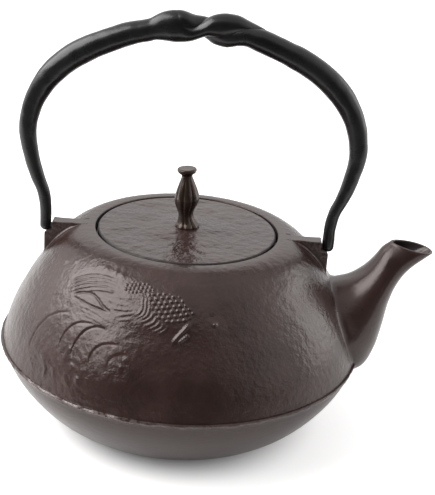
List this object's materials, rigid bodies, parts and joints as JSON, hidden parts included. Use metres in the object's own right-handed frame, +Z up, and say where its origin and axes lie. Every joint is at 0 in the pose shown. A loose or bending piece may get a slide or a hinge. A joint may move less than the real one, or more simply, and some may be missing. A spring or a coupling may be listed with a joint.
{
  "type": "teapot",
  "caption": "Squat round cast iron teapot with a ridged body, short spout, flush lid with a fluted knob, twisted bail handle and a steel tea basket.",
  "frame": {"origin": "centre of the flat base, on the body's vertical axis", "axes": "+Z up, +X toward the spout, +Y to the back when the spout points right"},
  "size_m": [0.1802, 0.154, 0.1758],
  "materials": {
    "pot_iron": "satin brown enamel over cast texture",
    "lid_iron": "satin brown enamel over cast texture",
    "knob_iron": "semi-gloss dark brown",
    "rivet_iron": "dull",
    "bail_iron": "satin black",
    "basket_steel": "satin stainless",
    "basket_mesh": "fine woven mesh"
  },
  "bodies": {
    "pot": {"pot_base": "pot_iron", "pot_bowl": "pot_iron", "pot_shoulder": "pot_iron", "spout": "pot_iron", "ear_right": "pot_iron", "ear_left": "pot_iron"},
    "bail": {"bail": "bail_iron"},
    "basket": {"basket_rim": "basket_steel", "basket_wall": "basket_mesh", "basket_floor": "basket_mesh", "basket_band": "basket_steel"},
    "lid": {"lid": "lid_iron", "lid_knob": "knob_iron", "knob_rivet": "rivet_iron"}
  },
  "joints": [
    {"name": "bail_swing", "type": "hinge", "parent": "pot", "child": "bail", "pos_m": [0, 0, 0.0818], "axis": [1, 0, 0], "range_deg": [-72, 72]},
    {"name": "basket_lift", "type": "slide", "parent": "pot", "child": "basket", "axis": [0, 0, 1], "range_m": [0, 0.05]},
    {"name": "lid_lift", "type": "slide", "parent": "basket", "child": "lid", "axis": [0, 0, 1], "range_m": [0, 0.05]}
  ]
}
